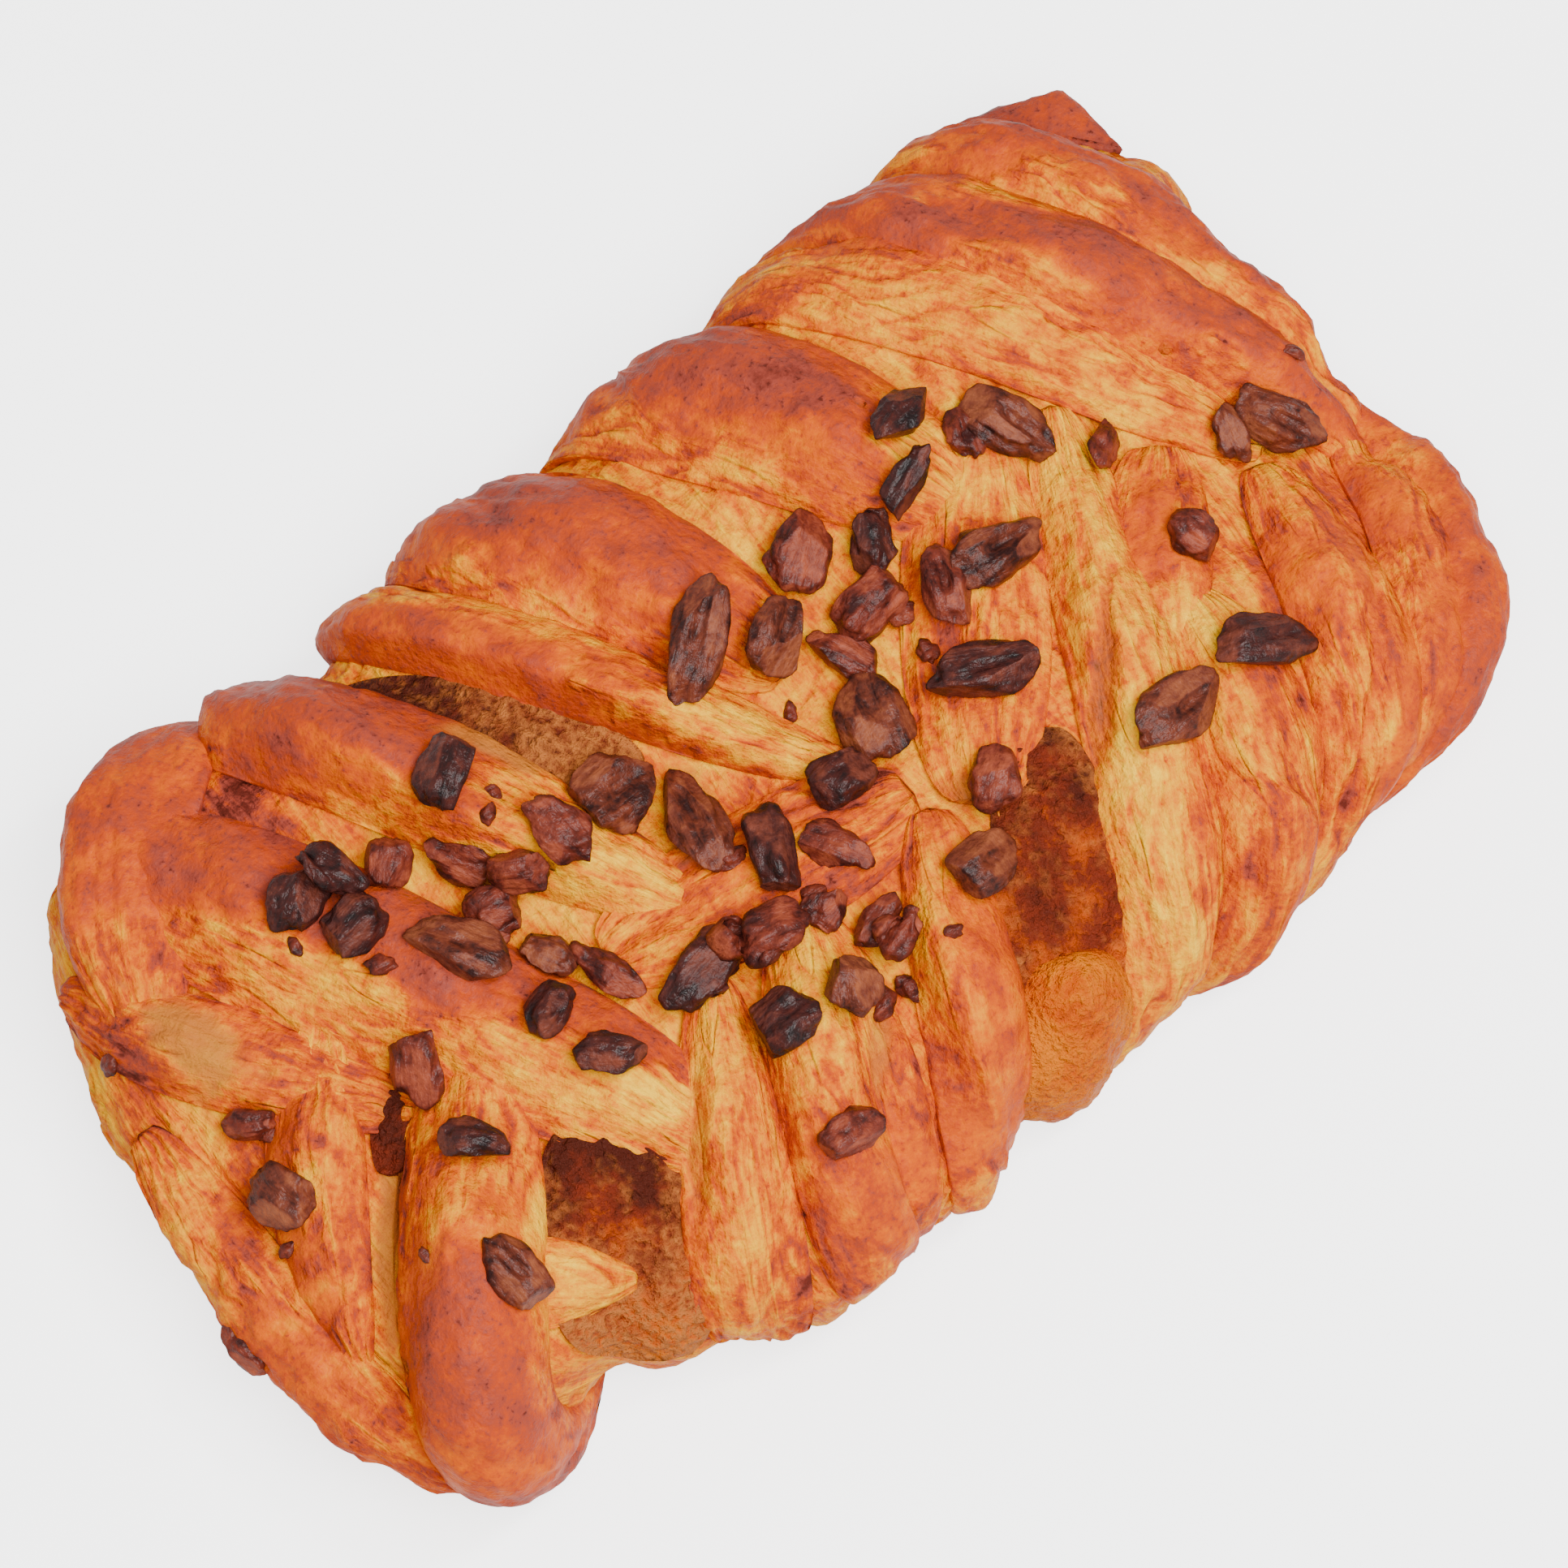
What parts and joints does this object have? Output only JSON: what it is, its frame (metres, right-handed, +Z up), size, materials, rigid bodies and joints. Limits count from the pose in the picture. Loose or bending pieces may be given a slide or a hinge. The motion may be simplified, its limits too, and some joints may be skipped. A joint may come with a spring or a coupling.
{
  "type": "pecan braid pastry",
  "caption": "Oblong plaited pastry of laminated dough strips over a pecan filling, with chopped pecans on top and a flat base.",
  "frame": {"origin": "middle of the braid's outline on the flat base it rests on", "axes": "+X along the braid, the way its chevrons point, +Y across it, +Z up"},
  "size_m": [0.1449, 0.088, 0.0323],
  "materials": {
    "baked_dough": "glazed crust, satin",
    "pecan_filling": "glossy, grainy",
    "pecan_reddish": "satin",
    "pecan_dark": "glazed",
    "pecan_tan": "satin"
  },
  "bodies": {
    "root": {"dough": "baked_dough", "filling": "pecan_filling", "pecan_01": "pecan_dark", "pecan_02": "pecan_dark", "pecan_03": "pecan_dark", "pecan_04": "pecan_reddish", "pecan_05": "pecan_reddish", "pecan_06": "pecan_dark", "pecan_07": "pecan_reddish", "pecan_08": "pecan_tan", "pecan_09": "pecan_reddish", "pecan_10": "pecan_reddish", "pecan_11": "pecan_reddish", "pecan_12": "pecan_tan", "pecan_13": "pecan_reddish", "pecan_14": "pecan_dark", "pecan_15": "pecan_tan", "pecan_16": "pecan_reddish", "pecan_17": "pecan_tan", "pecan_18": "pecan_dark", "pecan_19": "pecan_reddish", "pecan_20": "pecan_dark", "pecan_21": "pecan_dark", "pecan_22": "pecan_tan", "pecan_23": "pecan_tan", "pecan_24": "pecan_dark", "pecan_25": "pecan_dark", "pecan_26": "pecan_tan", "pecan_27": "pecan_dark", "pecan_28": "pecan_reddish", "pecan_29": "pecan_reddish", "pecan_30": "pecan_reddish", "pecan_31": "pecan_dark", "pecan_32": "pecan_tan", "pecan_33": "pecan_reddish", "pecan_34": "pecan_reddish", "pecan_35": "pecan_tan", "pecan_36": "pecan_reddish", "pecan_37": "pecan_reddish", "pecan_38": "pecan_tan", "pecan_39": "pecan_tan", "pecan_40": "pecan_reddish", "pecan_41": "pecan_dark", "pecan_42": "pecan_reddish", "pecan_43": "pecan_reddish", "pecan_44": "pecan_reddish", "pecan_45": "pecan_tan", "pecan_46": "pecan_dark", "pecan_47": "pecan_dark", "pecan_48": "pecan_reddish", "pecan_49": "pecan_tan", "pecan_50": "pecan_reddish", "pecan_51": "pecan_tan", "pecan_52": "pecan_tan", "pecan_53": "pecan_reddish", "pecan_54": "pecan_tan", "pecan_55": "pecan_dark"}
  },
  "joints": []
}
